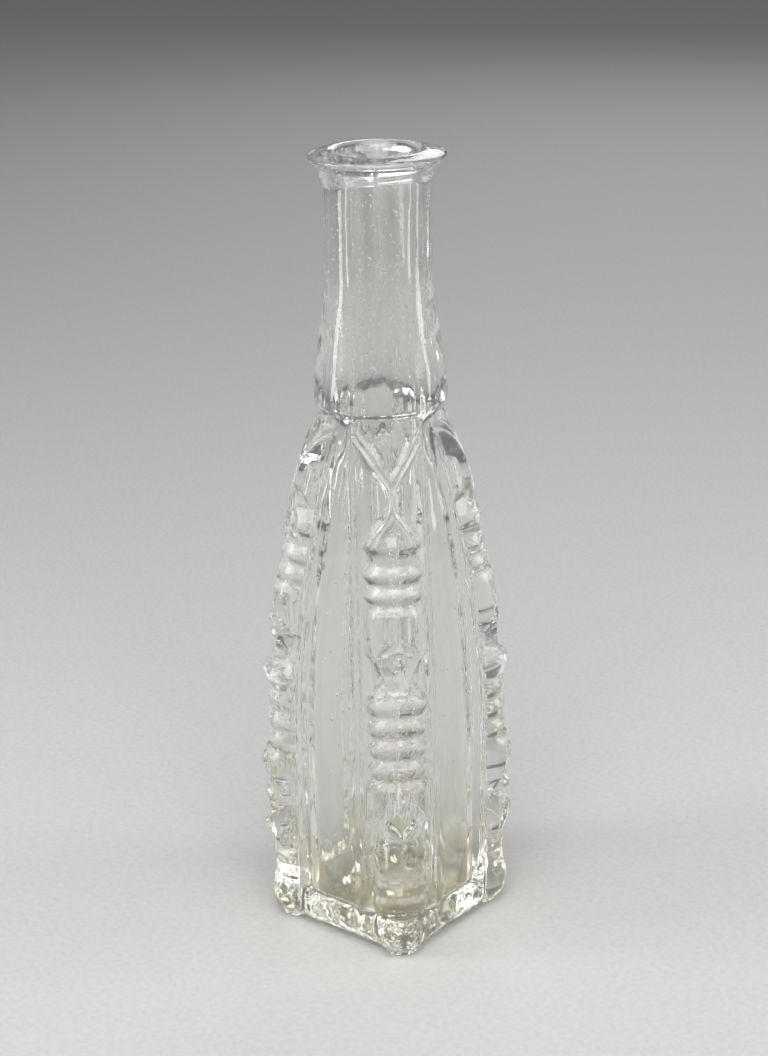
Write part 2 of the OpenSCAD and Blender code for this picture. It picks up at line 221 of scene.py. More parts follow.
def member_field(x, y, s):
    """Distance from a column's turned members with their ornament."""
    front = np.clip(x / np.maximum(np.hypot(x, y), 0.1), 0, 1) ** 2
    side_r, front_r = np.interp(s, PROFILE_S, PROFILE_SIDE), np.interp(s, PROFILE_S, PROFILE_FRONT)
    r = side_r + (front_r - side_r) * front
    back = np.interp(s, PROFILE_S, PROFILE_BACK)
    d = np.hypot(x + back, y) - r
    # the cups under the two drops
    for low, high, _ in DROPS:
        zone = (s > low - 0.3) & (s < high)
        d = np.where(zone, smax(d, drop_cut(x, y, s, low), 0.35), d)
    # the window in the upper drum, with a bar down its middle
    in_window = step((2.2 - y) / 0.3) * step((s - 60.0) / 0.3) * step((64.7 - s) / 0.3)
    in_window = in_window * (1 - 0.85 * step((0.5 - y) / 0.2))
    d = d + 0.5 * in_window
    # leaves on the lower drum: three lancets on a sunk field, under a gap between two ears
    gap = step((s - 31.8) / 0.8) * step((1.35 - y) / 0.6)
    d = d + 0.7 * gap * step((34.2 - s) / 0.6)
    lancets = np.maximum(leaf(y, s, 0.0, 30.6, 0.95, 4.4), leaf(y, s, 1.75, 29.2, 0.75, 3.4, 4))
    d = d + 0.35 * step((2.9 - y) / 0.4) * step((s - 25.6) / 0.5) * step((33.6 - s) / 0.8)
    d = d - 0.62 * lancets
    # long petals on the lower dome, on each side of a sunk V with a raised facet along each arm
    d = d + 0.65 * leaf(y, s, 3.6, 19.6, 1.15, 4.2, 4)
    arm = y - 0.42 * (s - 17.4)
    below_drop = step((22.9 - s) / 0.5)
    facet = step((arm + 1.25) / 0.25) * step(-arm / 0.25) * step((s - 17.2) / 0.4) * below_drop
    hollow = step((-arm - 1.25) / 0.3) * step((s - 18.3) / 0.5) * below_drop
    d = d - 0.45 * facet + 0.55 * hollow
    # the upper dome's top: cut back to a cone over a row of beads
    cone = (np.hypot(x, y) - 0.8 - 1.05 * np.maximum(53.4 - s, 0)) * 0.69
    d = np.where((s > 48.0) & (s < HIGH_DROP_Z), smax(d, cone, 0.3), d)
    for y0 in (0.0, 0.85, 1.7, 2.6):
        d = d - 0.35 * step(1.6 - np.hypot(y - y0, s - 49.2 - 0.07 * y0**2) / 0.3)
    # pointed facets round the ball foot
    return d + 0.28 * leaf(y, s, 1.2, 6.6, 1.3, 1.9, 20) + 0.2 * leaf(y, s, 3.4, 7.0, 0.8, 1.6, -30)


def roofed_boss(x, y, up):
    """The boss in the upper cup: a grooved ball with a shield behind it and a ribbed roof over it. Its up is
    the height over the cup's lower end."""
    reach, ball_r = 4.75, 2.4
    mid = up - ball_r
    ball = np.sqrt(y**2 + mid**2 + (np.maximum(x - (reach - 2.5), 0) * 0.9) ** 2) - ball_r
    ball = smax(ball, x - reach, 0.3)
    turn = np.hypot(y, mid)
    grooves = 0.6 * hump(turn - 1.4, 0.2) + 0.45 * hump(turn - 2.05, 0.2)
    roof = smax(y * 0.68 + (up - 6.2) * 0.73, 3.3 - up + 0.45 * (2.3 - y), 0.15)
    ribs = 0.16 * np.cos(7.5 * np.arctan2(y, mid + 0.4))
    roof = smax(roof, x - (reach + 0.35 - 0.25 * y + ribs), 0.15)
    shield = smax(y - 1.65 - 0.37 * (up + 3.1), x - (reach - 0.75), 0.2)
    shield = smax(shield, np.abs(up) - 3.6, 0.3)
    return smin(smin(ball + grooves, shield, 0.15), roof, 0.12)


def leaf_boss(x, y, up):
    """The boss in the lower cup, from the same height: two leaves that meet in a V."""
    reach = 5.0
    mid = up - 1.5
    vee = leaf(y, mid, 1.5, -0.3, 1.15, 2.8, 38, 0.5)
    shape = np.hypot(y, (mid + 0.2) * 0.78) - 2.8
    return smax(shape, x - (reach - 1.1 + 1.25 * vee), 0.25)


def fan_edge(y, s):
    """Distance outside the fan's edge, about square to it."""
    return (y - np.interp(s, FAN_S, FAN_W)) * FAN_COS


def fan_rims(edge):
    """The fan's two raised rims, just inside its edge."""
    return hump(edge + 0.22, 0.2) + 0.8 * hump(edge + 1.1, 0.22)


def fan_length(s):
    """1 along the fan, 0 above and below it."""
    return step((s - 76.1) / 0.7) * step((96.6 - s) / 1.5)


def column_field(x, y, s):
    """Distance from a column with its bosses and its fan."""
    d = member_field(x, y, s)
    # the cups stay broad where they are cut back
    for low in (LOW_DROP_Z, HIGH_DROP_Z):
        back = smax(smax(y - 3.75, x - 1.35, 0.5), np.abs(s - low + 0.6) - 1.6, 0.4)
        d = smin(d, back, 0.4)
    for low, below, boss in [(HIGH_DROP_Z, 4, roofed_boss), (LOW_DROP_Z, 1, leaf_boss)]:
        zone = (s > low - below) & (s < low + 7.5)
        d = np.where(zone, smin(d, boss(x, y, s - low), 0.3), d)
    # the fan over the bell: a wide shaft, cut away on each side of the waist
    wide = np.hypot(x, 0.8 * y) - 4.45
    d = np.where(s > 87, smin(d, smax(wide, y - 5.75, 0.4) + 1.6 * step((90 - s) / 2.5), 0.3), d)
    edge = fan_edge(y, s)
    relief = fan_rims(edge) - 0.55 * hump(edge + 0.68, 0.2) - 0.35 * step((-edge - 1.3) / 0.4)
    depth = (1.4 * step(edge / 0.5) - 0.42 * relief) * fan_length(s)
    # the heart sunk in the fan's top, with a ridge down its middle
    heart = step((0.5 * (s - 87.0) - y) / 0.4) * step((3.3 - y) / 0.4)
    heart = heart * step((s - 87.6) / 0.8) * step((96.9 - s - 0.1 * y**2) / 0.5)
    heart = heart * (1 - 0.7 * step((0.7 - y) / 0.5) * step((96 - s) / 2))
    return d + np.where(s > BELL_Z, depth + 0.6 * heart, 0.0)


def body_field(X, Y, Z):
    """Distance outside the body's skin in one quarter, with a column's diagonal along +X."""
    Y = np.abs(Y)
    s = Z - (X - spine(Z)) * slope(Z)
    for _ in range(3):
        s = Z - (X - spine(s)) * slope(s)
    lean = np.arctan(slope(s))
    x = (X - spine(s)) / np.cos(lean)
    # the panel lies sunk beyond the strip's edge, with a bead along the edge and a groove beside it
    t = Y - strip_half(Z)
    sunk = step((t + 0.1) / 0.55) * step((Z - 4.6) / 3.6) * step((97.2 - Z) / 1.4)
    reach = MARGIN_REACH - PANEL_SINK * sunk
    reach = reach + 0.16 * hump(t + 0.75, 0.5) - 0.10 * hump(t - 0.75, 0.4) * step((Z - 8) / 2)
    # flutes that run down to points beside the feet
    for t0, s0, w, h in [(-0.95, 14.6, 0.42, 5.4), (-1.7, 13.2, 0.3, 4.0)]:
        reach = reach - 0.38 * leaf(t, Z, t0 + 0.02 * (Z - s0), s0, w, h)
    # a pointed hollow at the top of the panel
    reach = reach - 0.55 * leaf(X - Y, Z, 0.0, 92.6, 1.5, 3.6)
    low = np.clip(HEEL_ROUND - Z, 0.0, HEEL_ROUND)
    reach = reach - (HEEL_ROUND - np.sqrt(HEEL_ROUND**2 - low**2))
    face = (X + Y) * SQ - (spine(Z) * SQ + reach)
    wall = smax(face, X - spine(Z) - 0.15, 0.7)
    d = smin(wall, column_field(x, Y, s), 0.38)
    # a cone that rounds the body off under the neck, and the neck's foot, which the body runs into
    crown = (np.hypot(X, Y) - (SKIRT_R - 0.75 + 0.39 * (SHOULDER_Z - Z))) * 0.93
    d = smax(d, crown, 0.6)
    skirt = np.hypot(X, Y) - np.interp(Z, NECK_FOOT_Z, NECK_FOOT_R)
    blend = 0.35 + 1.6 * step((Z - 93.0) / 4.0) * step((t + 1.3) / 1.0)
    return smin(d, np.where(Z > 94.0, skirt, 9.0), blend)


# ---------------------------------------------------------------- the grid of the outer skin
STRIP_LINES = 31            # upright lines from a column's middle to the edge of its strip
# the lines beyond it, as shares of the way from that edge to the middle of the panel
PANEL_LINES = np.array([0.05, 0.12, 0.24, 0.42, 0.7, 1.0])


def strip_angle(z):
    """Angle from a column's diagonal to the edge of its strip."""
    h = strip_half(z)
    return np.arctan2(h, (spine(z) * SQ + MARGIN_REACH) / SQ - h)


def tilt(z):
    """How steeply a row rises outwards, so that it follows the rings of the leaning columns."""
    return slope(z) * (1 - step((z - 75.0) / 20.0))


def strip_lines(z):
    """Where the grid's upright lines cross half a strip at one height, from 0 at its middle to 1 at
    its edge: close together at the column's side, round the bosses and along the fan's rim."""
    t = np.linspace(0, 1, 401)
    s = z + 3.9 * (tilt(z) - slope(z))
    rim = np.arctan2(np.interp(s, FAN_S, FAN_W), spine(z) + 3.2) / strip_angle(z)
    fan = step((z - 74.5) / 1.5) * step((97.8 - z) / 1.5)
    close = 1 + 1.4 * (1 - fan) * hump(t - 0.59, 0.14)
    close = close + 3.6 * fan * (hump(t - rim, 0.16) + hump(t + rim, 0.16))
    for low, high in [(22.0, 33.5), (52.5, 65.0)]:
        close = close + step((z - low) / 1.5) * step((high - z) / 1.5) * step((0.5 - t) / 0.15)
    total = np.concatenate([[0.0], np.cumsum((close[1:] + close[:-1]) / 2)])
    return np.interp(np.linspace(0, total[-1], STRIP_LINES), total, t)


def half_angles(z):
    """Angles of the upright lines at one height, from a column's diagonal to the middle of a panel."""
    edge = strip_angle(z)
    return np.concatenate([strip_lines(z) * edge, edge + PANEL_LINES * (QUARTER / 2 - edge)])


def row_heights():
    """Heights of the body's rows where they cross the centre line: close where the skin turns sharply."""
    marks = [(0.0, 0.38), (9.0, 0.34), (15.4, 0.42), (21.8, 0.36), (34.0, 0.34), (45.9, 0.45), (52.8, 0.34),
             (60.6, 0.42), (66.0, 0.32), (73.4, 0.42), (77.0, 0.47), (88.0, 0.45), (95.5, 0.35), (98.1, 0.35)]
    heights, spacings = zip(*marks)
    rows = [0.0]
    while rows[-1] < SHOULDER_Z:
        rows.append(rows[-1] + float(np.interp(rows[-1], heights, spacings)))
    return np.array(rows)


def body_rows():
    """Finds the skin by coming in from outside along the grid's lines. Gives the rows' heights and
    angles, and the skin's radius and height at each."""
    outermost, innermost, stride, halvings = 25.0, 6.0, 0.12, 14
    zs = row_heights()
    angles = np.array([half_angles(z) for z in zs])
    cos, sin = np.cos(angles), np.sin(angles)
    z0 = zs[:, None]
    t0, c0 = tilt(z0), spine(z0)

    def height(r):
        return z0 + (r * cos - c0) * t0 * step(z0 / 20.0)

    def field(r):
        return body_field(r * cos, r * sin, height(r))

    found = np.zeros(angles.shape, bool)
    hit = np.full(angles.shape, innermost)
    r = np.full(angles.shape, outermost)
    while r.max() > innermost:
        inside = (field(r) < 0) & ~found
        hit = np.where(inside, r, hit)
        found |= inside
        r = r - stride
    low, high = hit, hit + stride
    for _ in range(halvings):
        mid = (low + high) / 2
        inside = field(mid) < 0
        low, high = np.where(inside, mid, low), np.where(inside, high, mid)
    return zs, angles, low, height(low)


def round_angles(half):
    """Spreads rows of angles, worked out for half a quarter, all round the bottle."""
    turns = [QUARTER * q - QUARTER / 2 for q in range(4)]
    parts = [(turn + half, turn + QUARTER - half[:, -2:0:-1]) for turn in turns]
    return np.concatenate([part for pair in parts for part in pair], 1)


def round_values(half):
    """Spreads what belongs to those angles in the same way."""
    return np.concatenate([half, half[:, -2:0:-1]] * 4, 1)


# ---------------------------------------------------------------- waviness
def waves(seed, count, angular, vertical):
    """Smooth, seeded waviness, about -1 to 1. Each of its waves has a whole number of crests round the
    bottle within the limits of angular, and radians per millimetre of height within those of vertical."""
    rng = np.random.default_rng(seed)
    m = rng.integers(angular[0], angular[1] + 1, count)
    k = rng.uniform(vertical[0], vertical[1], count)
    p, q = rng.uniform(0, FULL, (2, count))

    def wave(theta, z):
        total = 0
        for i in range(count):
            total = total + np.cos(m[i] * theta + p[i]) * np.cos(k[i] * z + q[i])
        return total / math.sqrt(count) * 0.7
    return wave


wave_slow = waves(11, 6, (1, 3), (0.02, 0.09))
wave_body = waves(12, 10, (3, 11), (0.05, 0.35))
wave_inner = waves(13, 12, (2, 9), (0.03, 0.16))
wave_ripple = waves(14, 16, (9, 26), (0.02, 0.12))
wave_lip = waves(15, 5, (1, 4), (0.0, 0.1))


def mould_lift(theta, r, z):
    """How far the members rise outwards: a little on every column, and more on the front right one."""
    every, front_right = 0.3, 1.3
    out = np.clip((r * np.cos(nearest_diagonal(theta)) - spine(z)) / 4.7, 0, 1)
    amount = every + front_right * step((np.cos(theta + QUARTER / 2) - 0.7) / 0.2)
    return out * amount * np.interp(z, [2.0, 9.0, 47.0, 56.0, 63.0], [0, 1, 1, 0.5, 0])


# ---------------------------------------------------------------- rings of points that make the skins
def neck_outside(z):
    """Radius of the neck over its rounded foot."""
    part = np.clip((z - SHOULDER_Z - SKIRT_ROUND) / FLARE_H, 0, 1)
    return NECK_R + (SKIRT_R - NECK_R) * (0.5 + 0.5 * np.cos(math.pi * part))


def rounded_line(points):
    """Cuts the corners of an open line of (radius, height) points."""
    p = np.array(points)
    q = np.empty((2 * len(p), 2))
    q[0], q[-1] = p[0], p[-1]
    q[1:-1:2] = 0.75 * p[:-1] + 0.25 * p[1:]
    q[2:-1:2] = 0.25 * p[:-1] + 0.75 * p[1:]
    return q


def cavity_radius(theta, z):
    """The blown inside: flat sides with rounded corners, narrowing to a round throat."""
    foot = FOOT_SPREAD * SQ + MARGIN_REACH - PANEL_SINK - WALL
    flat = foot - (foot - THROAT_R) * tapered(z)
    corner = foot + CORNER_SWELL - (foot + CORNER_SWELL - THROAT_R) * tapered(z)
    side = np.maximum(np.abs(np.cos(theta)), np.abs(np.sin(theta)))
    return smin(flat / side, corner, 1.2)


def cavity_skin(theta, z):
    """The blown inside with its waviness, which turns to a fine ripple towards the throat."""
    ripple = 0.06 + 0.26 * step((z - 90) / 6)
    return cavity_radius(theta, z) + 0.22 * wave_inner(theta, z) + ripple * wave_ripple(theta, z)


def push_up_height(r):
    """Height of the push-up's shallow dome at a radius."""
    sphere = (PUSH_UP_R**2 + PUSH_UP**2) / (2 * PUSH_UP)
    return PUSH_UP - sphere + math.sqrt(sphere**2 - r**2)


def ring_points(radius, theta, z):
    return np.stack([radius * np.cos(theta), radius * np.sin(theta), z + 0 * theta], -1)


CAVITY_FOOT = 6.4           # the inside's wall ends here and rounds into the floor


def floor_rings(t, clear):
    """The inside's heel and floor, raised off the glass by clear."""
    heel_z, half_width = 6.0, 12.0
    rings = []
    for part, z in [(0.985, 5.5), (0.94, 4.95), (0.87, 4.75)]:
        rings.append(ring_points(cavity_radius(t, heel_z) * part - clear * 0.7, t, z + clear * 0.7))
    # the floor eases from the inside's square outline to the push-up's round one
    for r in [8.8, 7.2, 5.4, 3.6, 1.9, 0.8]:
        mix = step((r - 5.4) / 6)
        shape = cavity_radius(t, heel_z) / half_width * mix + (1 - mix)
        rings.append(ring_points(r * shape, t, FLOOR_Z + push_up_height(r) + 0.08 * wave_inner(t, r) + clear))
    return rings


def stitch(a, n, b, m):
    """Faces between a ring of n points from number a and one of m points from number b. Both have as
    many points, or one has half as many as the other."""
    faces = []
    for i in range(min(n, m)):
        j = (i + 1) % min(n, m)
        if n == m:
            faces.append((a + i, a + j, b + j, b + i))
        elif n > m:
            first, mid, last = a + 2 * i, a + 2 * i + 1, a + (2 * i + 2) % n
            faces += [(first, mid, b + i), (mid, last, b + j), (mid, b + j, b + i)]
        else:
            first, mid, last = b + 2 * i, b + 2 * i + 1, b + (2 * i + 2) % m
            faces += [(a + i, mid, first), (a + i, a + j, mid), (a + j, last, mid)]
    return faces


def join_rings(rings, start, end):
    """One closed skin from a point, through rings of points, to another point."""
    faces = []
    count = 0
    for ring, after in zip(rings[:-1], rings[1:]):
        faces += stitch(count, len(ring), count + len(ring), len(after))
        count += len(ring)
    n, m = len(rings[0]), len(rings[-1])
    total = count + m
    faces += [(total, (i + 1) % n, i) for i in range(n)]
    faces += [(count + i, count + (i + 1) % m, total + 1) for i in range(m)]
    return np.concatenate(rings + [[start], [end]]), faces


def underside_rings(t, foot_radius):
    """The hollow underneath, out to the resting face."""
    rings = []
    for r in np.linspace(0.08, 1.0, 9) ** 0.8 * PUSH_UP_R:
        z = push_up_height(r) + 0.05 * wave_body(t, r) * step((PUSH_UP_R - r) / 2)
        rings.append(ring_points(r, t, z))
    for part in (0.35, 0.7):
        rings.append(ring_points(PUSH_UP_R + (foot_radius - PUSH_UP_R) * part, t, 0.0))
    return rings


def neck_rings(t, low):
    """The neck from the body's last row up to the lip, with a rippled foot."""
    rings = []
    for z in np.concatenate([[low + 0.35, low + 0.7, low + 1.0], np.linspace(low + 1.5, LIP_Z - 0.6, 32)]):
        r = np.interp(z, NECK_FOOT_Z, NECK_FOOT_R) if z < NECK_FOOT_Z[-1] else neck_outside(z)
        drawn = 0.05 * wave_body(t, z) + 0.12 * step((105 - z) / 5) * wave_ripple(t, z)
        rings.append(ring_points(r + 0.16 * wave_slow(t, z) + drawn, t, z))
    return rings


def lip_rings(t):
    """The applied lip, laid round the neck by hand, with an uneven underside and rim."""
    sag = 0.42 * np.cos(t - math.radians(-35)) + 0.22 * np.cos(2 * t + 1.0) + 0.12 * wave_lip(t, 0)
    rings = []
    for r, z in rounded_line(LIP_LINE):
        low = step((140.2 - z) / 1.5) * (r > 8.5)
        rim = step((z - 139.8) / 1.2) * step((r - 8.8) / 2)
        wobble = (0.10 * wave_lip(t, 2) + 0.05 * wave_body(t, z)) * step((r - BORE_R) / 2)
        height = np.minimum(z + sag * low + 0.16 * wave_lip(t, 1) * rim, BOTTLE_H)
        rings.append(ring_points(r + wobble, t, height))
    return rings


def inside_rings(t, t_body):
    """The bore, the throat and the blown inside, each with its highest ring, its lowest one and their
    number, and the floor over the push-up."""
    rings = []
    bore, throat, blown = (137.6, 107.0, 22), (105.5, 99.0, 6), (97.6, CAVITY_FOOT, 50)
    for z in np.linspace(*bore):
        rings.append(ring_points(BORE_R + 0.10 * wave_inner(t, z) * step((138 - z) / 6), t, z))
    for z in np.linspace(*throat):
        ripple = 0.16 * wave_inner(t, z) + 0.32 * step((105.5 - z) / 5) * wave_ripple(t, z)
        rings.append(ring_points(BORE_R + (THROAT_R - BORE_R) * step((105 - z) / 7) + ripple, t, z))
    for z in np.linspace(*blown):
        mix = step((SHOULDER_Z - z) / 6)
        t_z = t * (1 - mix) + t_body * mix
        rings.append(ring_points(cavity_skin(t_z, z), t_z, z))
    return rings + floor_rings(t_body, 0.0)


def build_glass():
    """All the glass as one closed skin: underneath, up the body, over the lip and down the inside."""
    zs, half, radius, height = body_rows()
    theta, R, Z = round_angles(half), round_values(radius), round_values(height)
    body = []
    for t, r, z in zip(theta, R, Z):
        heel = 0.16 * step(z / 3.0) * step((13.0 - z) / 4.0)
        soft = 0.10 * wave_slow(t, z) * step(z / 15) + (0.035 + heel) * wave_body(t, z)
        body.append(ring_points(r + soft, t, z + mould_lift(t, r, z)))
    # every second line is enough underneath, on the neck and inside
    t = theta[-1][::2]
    t_body = round_angles(half_angles(60.0)[None])[0][::2]
    rings = underside_rings(theta[0][::2], R[0][::2]) + body + neck_rings(t, zs[-1]) + lip_rings(t)
    return join_rings(rings + inside_rings(t, t_body), (0, 0, PUSH_UP), (0, 0, FLOOR_Z + PUSH_UP))


def wall_at(theta, z):
    """Inner and outer radius of the glass on a panel or the neck, for placing bubbles."""
    if z > SHOULDER_Z:
        return BORE_R, float(neck_outside(z))
    side = max(abs(math.cos(theta)), abs(math.sin(theta)))
    return cavity_radius(theta, z), float((spine(z) * SQ + MARGIN_REACH - PANEL_SINK) / side)


def add_bubbles(verts, faces, count, seed):
    """Seed bubbles: small closed hollows in the glass, drawn out along the bottle, with their faces
    turned inwards. On the body they lie in the panels."""
    rng = np.random.default_rng(seed)
    bm = bmesh.new()
    bmesh.ops.create_icosphere(bm, subdivisions=2, radius=1.0)
    ball = np.array([v.co[:] for v in bm.verts])
    tris = [tuple(v.index for v in f.verts) for f in bm.faces]
    bm.free()
    base = len(verts)
    out_v, out_f = [verts], list(faces)
    for _ in range(count):
        z = rng.uniform(9, 134)
        theta = rng.uniform(0, FULL)
        if z < SHOULDER_Z + 2:
            theta = QUARTER * rng.integers(4) + rng.uniform(-0.28, 0.28)
        inner, outer = wall_at(theta, z)
        r = inner + (outer - inner) * rng.uniform(0.35, 0.7)
        size = rng.uniform(0.1, 0.24)
        long = size * rng.uniform(1.0, 3.0)
        points = ball * [size, size, long]
        points = points + [r * math.cos(theta), r * math.sin(theta), z]
        out_v.append(points)
        out_f += [(base + c, base + b, base + a) for a, b, c in tris]
        base += len(ball)
    return np.concatenate(out_v), out_f


def build_residue():
    """A thin closed film on the floor and the lower part of the inside wall, bedded in the glass's skin."""
    t = np.linspace(0, FULL, 160, endpoint=False)
    top = FILM_TOP + 3.0 * wave_inner(t, 3.0)

    def skin(clear):
        wall = []
        for part in np.linspace(1, 0, 34):
            z = CAVITY_FOOT + (top - CAVITY_FOOT) * part
            wall.append(ring_points(cavity_skin(t, z) - clear, t, z))
        return wall + floor_rings(t, clear)

    middle = FLOOR_Z + PUSH_UP
    rings = skin(FILM_UNDER)[::-1] + skin(FILM_OVER)
    return join_rings(rings, (0, 0, middle + FILM_UNDER), (0, 0, middle + FILM_OVER))


# ---------------------------------------------------------------- wear, dirt and painted light on the skin
def wear_and_highlight_amount(x, y, s):
    """How frosted the front of a column is, with a painted highlight where light from above falls on its
    upper
    faces: the upper part of each ring, of the two drums and of the upper dome's edge, the upper dome's cone,
    the upper boss's roof and the fan's rims."""
    side = np.abs(y)
    ledges = [(low, h) for low, h, _, _ in RINGS]
    ledges += [(MID_RINGS_Z - 4.0, 4.0), (TOP_RINGS_Z - 3.4, 3.4), (HIGH_DOME_Z - 0.5, 4.0)]
    # the upper faces that light from above falls on: frosting and a painted highlight
    ledge_wear_and_highlight = np.zeros_like(s)
    for low, h in ledges:
        t = (s - low) / h
        ledge_wear_and_highlight = np.maximum(ledge_wear_and_highlight, step((t - 0.42) / 0.18) * step((1.05 - t) / 0.15))
    ledge_wear_and_highlight = np.maximum(ledge_wear_and_highlight, 0.8 * step((s - 48.6) / 0.6) * step((HIGH_DROP_Z + 0.4 - s) / 0.5))
    ledge_wear_and_highlight = ledge_wear_and_highlight * step((4.9 - side) / 1.2)
    up = s - HIGH_DROP_Z
    roof = step((x - 2.0 - CUP_SLOPE * up) / 0.4) * step((3.2 - side) / 0.5)
    roof = roof * step((up - 3.2) / 0.5) * step((6.3 - up) / 0.5)
    rims = 0.8 * fan_rims(fan_edge(side, s)) * fan_length(s)
    return np.maximum(np.maximum(ledge_wear_and_highlight, roof), rims) * step((x + 0.5) / 1.5)


def grime_and_shade_amount(x, y, s):
    """How much dirt and painted shade lie on the front of a column: on the lower half of each ring, whose
    downward faces are darkened as painted shade, most on the middle ones, and at the sides of the lower drum."""
    side = np.abs(y)
    dirt_and_shade = np.zeros_like(s)
    for low, h, _, weight in RINGS:
        t = (s - low) / h
        dirt_and_shade = np.maximum(dirt_and_shade, weight * step((t + 0.08) / 0.12) * step((0.5 - t) / 0.2))
    drum = step((s - 26.0) / 2.0) * step((33.0 - s) / 2.0) * step((side - 2.2) / 0.8)
    dirt_and_shade = np.maximum(dirt_and_shade, 0.8 * drum)
    return dirt_and_shade * step((x - 0.2) / 1.2) * step((5.2 - side) / 1.0)


def mark_skin(obj):
    """Gives the glass's points their frosted wear with its painted highlight and their dirt with its painted
    shade, worked out on the nearest column, and a frosted, whitened collar where the lip was laid on the
    neck."""
    co = np.empty(len(obj.data.vertices) * 3)
    obj.data.vertices.foreach_get("co", co)
    X, Y, Z = (co.reshape(-1, 3) / MM).T
    theta, r = np.arctan2(Y, X), np.hypot(X, Y)
    turn = nearest_diagonal(theta)
    X, Y, Z = r * np.cos(turn), r * np.sin(turn), Z - mould_lift(theta, r, Z)
    s = Z - (X - spine(Z)) * slope(Z)
    x = X - spine(Z)
    collar = 0.7 * step((Z - 137.2) / 0.5) * step((140.4 - Z) / 0.8) * (r > 9.0)
    marks = {"wear_and_highlight": np.maximum(wear_and_highlight_amount(x, Y, s), collar), "grime_and_shade": grime_and_shade_amount(x, Y, s)}
    for name, values in marks.items():
        layer = obj.data.attributes.new(name, "FLOAT", "POINT")
        layer.data.foreach_set("value", values.astype(np.float32))


def make_object(name, verts, faces):
    mesh = bpy.data.meshes.new(name)
    mesh.from_pydata([tuple(v * MM) for v in verts], [], faces)
    mesh.update()
    mesh.polygons.foreach_set("use_smooth", [True] * len(mesh.polygons))
    obj = bpy.data.objects.new(name, mesh)
    bpy.context.scene.collection.objects.link(obj)
    return obj


# ---------------------------------------------------------------- tools for materials
# Heights and widths in the materials are in metres, and a noise's scale is in cells per metre.
MIX_FACTOR, MIX_A, MIX_B, MIX_COLOUR = 0, 6, 7, 2  # a Mix node's sockets for colours


def new_material(name):
    mat = bpy.data.materials.new(name)
    mat.use_nodes = True
    nt = mat.node_tree
    return mat, nt, nt.nodes["Principled BSDF"]


def node(nt, kind, **values):
    """A node, with its settings and sockets set by their names."""
    n = nt.nodes.new(kind)
    for key, value in values.items():
        if hasattr(n, key):
            setattr(n, key, value)
        else:
            n.inputs[key].default_value = value
    return n


def place(nt):
    """The object's own coordinates, and their x, y and z."""
    coord = node(nt, "ShaderNodeTexCoord").outputs["Object"]
    parts = node(nt, "ShaderNodeSeparateXYZ")
    nt.links.new(coord, parts.inputs["Vector"])
    return coord, parts.outputs["X"], parts.outputs["Y"], parts.outputs["Z"]


def ramp(nt, source, stops):
    """A colour for each value of source, between stops of (value, colour)."""
    n = nt.nodes.new("ShaderNodeValToRGB")
    while len(n.color_ramp.elements) < len(stops):
        n.color_ramp.elements.new(0.5)
    for element, (at, colour) in zip(n.color_ramp.elements, stops):
        element.position = at
        element.color = (*colour, 1)
    nt.links.new(source, n.inputs["Fac"])
    return n.outputs["Color"]


def remap(nt, source, low, high, to_low, to_high):
    """Takes source from the range low to high into to_low to to_high, and holds it there beyond."""
    n = nt.nodes.new("ShaderNodeMapRange")
    for name, value in zip(("From Min", "From Max", "To Min", "To Max"), (low, high, to_low, to_high)):
        n.inputs[name].default_value = value
    nt.links.new(source, n.inputs["Value"])
    return n.outputs["Result"]


def maths(nt, operation, *values):
    n = nt.nodes.new("ShaderNodeMath")
    n.operation = operation
    for i, value in enumerate(values):
        if isinstance(value, (int, float)):
            n.inputs[i].default_value = value
        else:
            nt.links.new(value, n.inputs[i])
    return n.outputs["Value"]


def square_sum(nt, x, y):
    return maths(nt, "ADD", maths(nt, "POWER", x, 2.0), maths(nt, "POWER", y, 2.0))


def noise(nt, coord, scale, detail, roughness=0.5, stretch=(1, 1, 1)):
    """Noise, drawn out along an axis where stretch is below 1."""
    mapping = nt.nodes.new("ShaderNodeMapping")
    mapping.inputs["Scale"].default_value = stretch
    nt.links.new(coord, mapping.inputs["Vector"])
    n = node(nt, "ShaderNodeTexNoise", Scale=scale, Detail=detail, Roughness=roughness)
    nt.links.new(mapping.outputs["Vector"], n.inputs["Vector"])
    return n.outputs["Fac"]


def bump(nt, source, strength, distance, under=None):
    """Bump from a height, on top of another bump where one is given."""
    n = node(nt, "ShaderNodeBump", Strength=strength, Distance=distance)
    nt.links.new(source, n.inputs["Height"])
    if under is not None:
        nt.links.new(under, n.inputs["Normal"])
    return n.outputs["Normal"]


def stain(nt, base, colour, amount):
    """A colour multiplied by another one, as much as amount says."""
    n = node(nt, "ShaderNodeMix", data_type="RGBA", blend_type="MULTIPLY")
    n.inputs[MIX_B].default_value = (*colour, 1)
    nt.links.new(amount, n.inputs[MIX_FACTOR])
    nt.links.new(base, n.inputs[MIX_A])
    return n.outputs[MIX_COLOUR]


